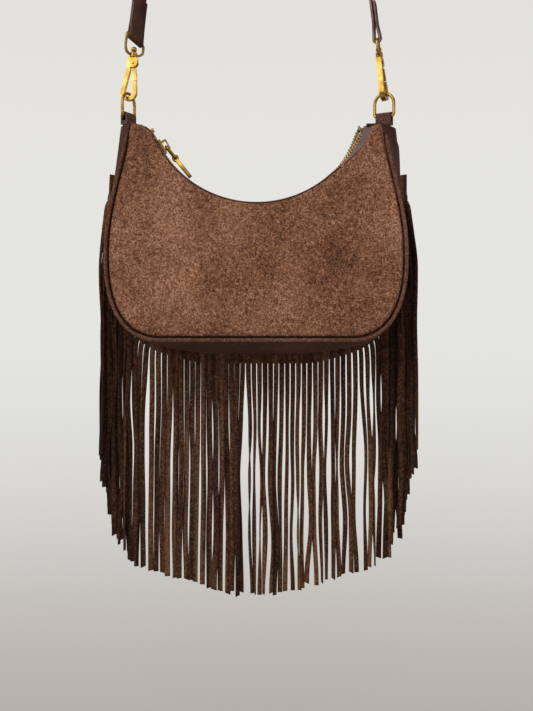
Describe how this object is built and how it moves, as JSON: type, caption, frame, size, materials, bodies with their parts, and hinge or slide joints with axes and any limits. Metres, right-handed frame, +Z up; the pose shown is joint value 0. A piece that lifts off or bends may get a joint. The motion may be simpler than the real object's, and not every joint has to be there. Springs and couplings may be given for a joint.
{
  "type": "fringed suede shoulder bag",
  "caption": "Small suede shoulder bag with a scooped zip top, round piping, a long fringe round its back seam, and a leather strap on brass snap hooks.",
  "frame": {"origin": "inner face of the strap at the top of its arch, where the bag hangs", "axes": "+Z up, the front panel faces -Y, +X to the right of the front"},
  "size_m": [0.2618, 0.0601, 0.7262],
  "materials": {
    "suede": "napped suede, mid brown",
    "gusset_suede": "napped suede, dark brown",
    "fringe_suede": "napped suede cut into strands",
    "lining_cloth": "woven twill lining",
    "zip_tape": "woven zip tape, mauve brown",
    "zip_brass": "brushed gold brass teeth",
    "slider_brass": "polished gold",
    "tab_suede": "dark suede leather",
    "hardware_brass": "polished gold",
    "spring_steel": "dark spring steel",
    "strap_leather": "smooth dark chocolate leather with raw edges"
  },
  "bodies": {
    "strap_body": {"strap": "strap_leather", "swivel_eye_left": "hardware_brass", "swivel_eye_right": "hardware_brass"},
    "bag_body": {"front_panel": "suede", "back_panel": "suede", "gusset": "gusset_suede", "front_piping": "suede", "back_piping": "suede", "lining": "lining_cloth", "fringe": "fringe_suede", "zip_tape_front": "zip_tape", "zip_tape_back": "zip_tape", "zip_teeth_front": "zip_brass", "zip_teeth_back": "zip_brass", "zip_top_stop_front": "zip_brass", "zip_top_stop_back": "zip_brass", "zip_bottom_stop": "zip_brass", "ring_tab_left": "tab_suede", "ring_tab_right": "tab_suede"},
    "hook_left": {"hook_body_left": "hardware_brass", "gate_pin_left": "hardware_brass", "gate_spring_left": "spring_steel"},
    "gate_left": {"hook_gate_left": "hardware_brass"},
    "hook_right": {"hook_body_right": "hardware_brass", "gate_pin_right": "hardware_brass", "gate_spring_right": "spring_steel"},
    "gate_right": {"hook_gate_right": "hardware_brass"},
    "ring_left": {"d_ring_left": "hardware_brass"},
    "ring_right": {"d_ring_right": "hardware_brass"},
    "zip_slider": {"slider": "slider_brass"},
    "puller_link_body": {"puller_link": "slider_brass"},
    "puller_bar_body": {"puller_bar": "slider_brass"}
  },
  "joints": [
    {"name": "bag_swing", "type": "hinge", "parent": "strap_body", "child": "bag_body", "pos_m": [0, 0, -0.3], "axis": [1, 0, 0], "range_deg": [-16, 16]},
    {"name": "hook_swivel_left", "type": "hinge", "parent": "strap_body", "child": "hook_left", "pos_m": [-0.1075, 0, -0.3], "axis": [0.1197, 0, 0.9928], "range_deg": [-28, 4]},
    {"name": "gate_open_left", "type": "hinge", "parent": "hook_left", "child": "gate_left", "pos_m": [-0.10353, -0.00013, -0.27197], "axis": [0.2064, 0.9781, -0.0249], "range_deg": [0, 13], "stiffness_Nm_per_rad": 0.004, "springref_deg": -11.46},
    {"name": "ring_flap_left", "type": "hinge", "parent": "bag_body", "child": "ring_left", "pos_m": [-0.1075, 0, -0.317], "axis": [0.4695, 0.8829, 0], "range_deg": [-1.5, 1.5]},
    {"name": "hook_swivel_right", "type": "hinge", "parent": "strap_body", "child": "hook_right", "pos_m": [0.1075, 0, -0.3], "axis": [-0.1197, 0, 0.9928], "range_deg": [-22, 5]},
    {"name": "gate_open_right", "type": "hinge", "parent": "hook_right", "child": "gate_right", "pos_m": [0.10435, 0.00055, -0.27187], "axis": [-0.907, 0.4067, -0.1094], "range_deg": [0, 13], "stiffness_Nm_per_rad": 0.004, "springref_deg": -11.46},
    {"name": "ring_flap_right", "type": "hinge", "parent": "bag_body", "child": "ring_right", "pos_m": [0.1075, 0, -0.317], "axis": [0.866, -0.5, 0], "range_deg": [-1.5, 1.5]},
    {"name": "zip_slide", "type": "hinge", "parent": "bag_body", "child": "zip_slider", "pos_m": [0, 0, -0.2978], "axis": [0, -1, 0], "range_deg": [-3, 124]},
    {"name": "puller_lift", "type": "hinge", "parent": "zip_slider", "child": "puller_link_body", "pos_m": [-0.07576, 0, -0.34257], "axis": [0, -1, 0], "range_deg": [0, 112]},
    {"name": "puller_bend", "type": "hinge", "parent": "puller_link_body", "child": "puller_bar_body", "pos_m": [-0.06798, 0, -0.35235], "axis": [0, -1, 0], "range_deg": [0, 40]}
  ]
}
